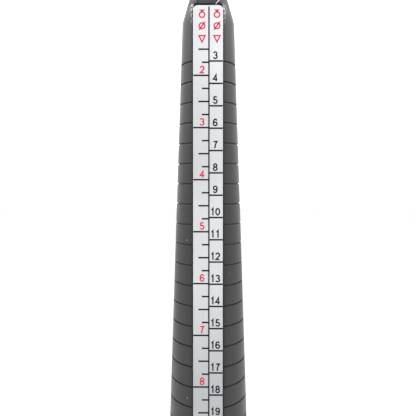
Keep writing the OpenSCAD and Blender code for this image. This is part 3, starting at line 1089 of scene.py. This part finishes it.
def adhesive_film(name):
    """Yellowed clear film, cloudy where it has let go."""
    material, sockets, w = new_material(name, IOR=1.47)
    mottle = w.noise(w.object_point(), 2400.0, 4.0)
    w.link(w.mix(mottle, (0.72, 0.7, 0.6, 1), (0.86, 0.84, 0.76, 1)), sockets["Base Color"])
    w.link(w.remap(mottle, 0.3, 0.7, 0.45, 0.7), sockets["Roughness"])
    return material


def plated_steel(name):
    """Zinc-plated steel with a spangle and a slight yellow cast."""
    material, sockets, w = new_material(name, Metallic=1.0)
    spangle = w.noise(w.object_point(), 1800.0, 4.0)
    w.link(w.mix(spangle, (0.56, 0.57, 0.6, 1), (0.72, 0.71, 0.66, 1)), sockets["Base Color"])
    w.link(w.remap(spangle, 0.3, 0.7, 0.28, 0.44), sockets["Roughness"])
    bump(w, sockets, w.noise(w.object_point(), 7000.0), 0.15, 0.01 * MM)
    return material


MANDREL_PLASTIC = black_moulding("mandrel_plastic", grey(0.013, 0.014), grey(0.08),
                                 0.34, 0.44, 0.35, True)
HANDLE_PLASTIC = black_moulding("handle_plastic", grey(0.015, 0.017), grey(0.04),
                                0.38, 0.5, 0.12)
PLUG_PLASTIC = black_moulding("plug_plastic", grey(0.05, 0.053), grey(0.1), 0.5, 0.62, 0.1)
STRIP_METAL = brushed_strip("strip_metal")
TAPE = adhesive_film("strip_tape")
SCREW_STEEL = plated_steel("screw_steel")
INKS = {
    "dark": printing_ink("dark_ink", (0.005, 0.006, 0.016, 1), (0.011, 0.012, 0.035, 1)),
    "red": printing_ink("red_ink", (0.55, 0.03, 0.065, 1), (0.62, 0.075, 0.12, 1)),
}

for node, material in (("front_strip_tape", TAPE), ("rear_strip_tape", TAPE),
                       ("tail_plug", PLUG_PLASTIC), ("handle_screw", SCREW_STEEL),
                       ("screw_washer", SCREW_STEEL)):
    paint(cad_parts[node].data, material)


# ---------------------------------------- put together
def hand_over(piece, node, material):
    paint(piece.data, material)
    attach(piece, "root")
    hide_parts(node)


hand_over(make_mandrel(), "mandrel_shell", MANDREL_PLASTIC)
hand_over(make_handle(), "handle_sleeve", HANDLE_PLASTIC)
hand_over(make_cap(), "end_cap", HANDLE_PLASTIC)
hand_over(make_strip("front_strip", False), "front_scale_strip", STRIP_METAL)
hand_over(make_strip("rear_strip", True), "rear_scale_strip", STRIP_METAL)

TICKS = make_tick_tree()
DIGITS = digit_meshes()
print_scale("front", False, (us_diameter, 2, 15, 1.5), (hk_diameter, 3, 33))
print_scale("rear", True, (jp_diameter, 1, 32, None), (eu_diameter, 41, 75))


# ---------------------------------------- studio
FLOOR_RADIUS, FLOOR_STEPS_ROUND = 3.0, 96
AIM = (0, 0, 0.24)
# Each soft light: (name, place, (width, height) in metres, watts)
LIGHTS = [("front_high", (0.0, -0.64, 1.05), (2.2, 0.3), 3.0),
          ("left_high", (-0.95, -0.1, 0.9), (0.9, 0.5), 3.6),
          ("right_high", (0.95, -0.1, 0.9), (0.9, 0.5), 3.6)]
# The surround's brightness: (axis, from, to, value there, value there)
SURROUND = [("Y", -1.0, 0.7, 1.0, 1.5), ("Z", 0.0, 0.3, 1.0, 1.3), ("Z", 0.35, 1.0, 1.0, 0.5)]


def make_floor():
    """A wide pale floor under the stick."""
    mesh = bpy.data.meshes.new("floor")
    rim = circle_points(0, 0, FLOOR_RADIUS, FLOOR_STEPS_ROUND)
    mesh.from_pydata([(x, y, 0) for x, y in rim], [], [tuple(range(len(rim)))])
    floor = add_object("floor", mesh)
    material, sockets, w = new_material("pale_paper", Roughness=0.9, Specular_IOR_Level=0.1)
    paper = w.noise(w.object_point(), 6.0, 4.0)
    w.link(w.mix(paper, grey(0.77), grey(0.79)), sockets["Base Color"])
    paint(mesh, material)


def soft_light(name, place, size, power):
    data = bpy.data.lights.new(name, "AREA")
    data.shape = "RECTANGLE"
    data.size, data.size_y = size
    data.energy = power
    light = add_object(name, data)
    light.location = place
    light.rotation_euler = (Vector(AIM) - Vector(place)).to_track_quat("-Z", "Y").to_euler()


def make_studio():
    make_floor()
    world = bpy.data.worlds.new("studio")
    bpy.context.scene.world = world
    world.use_nodes = True
    w = Wiring(world.node_tree)
    axes = w.split(w.add("ShaderNodeTexCoord").outputs["Generated"])
    background = world.node_tree.nodes["Background"]
    background.inputs["Color"].default_value = grey(1.0)
    strengths = [w.remap(axes[axis], *values) for axis, *values in SURROUND]
    w.link(w.times(*strengths), background.inputs["Strength"])
    for light in LIGHTS:
        soft_light(*light)
    bpy.context.scene.view_settings.view_transform = "Standard"


make_studio()
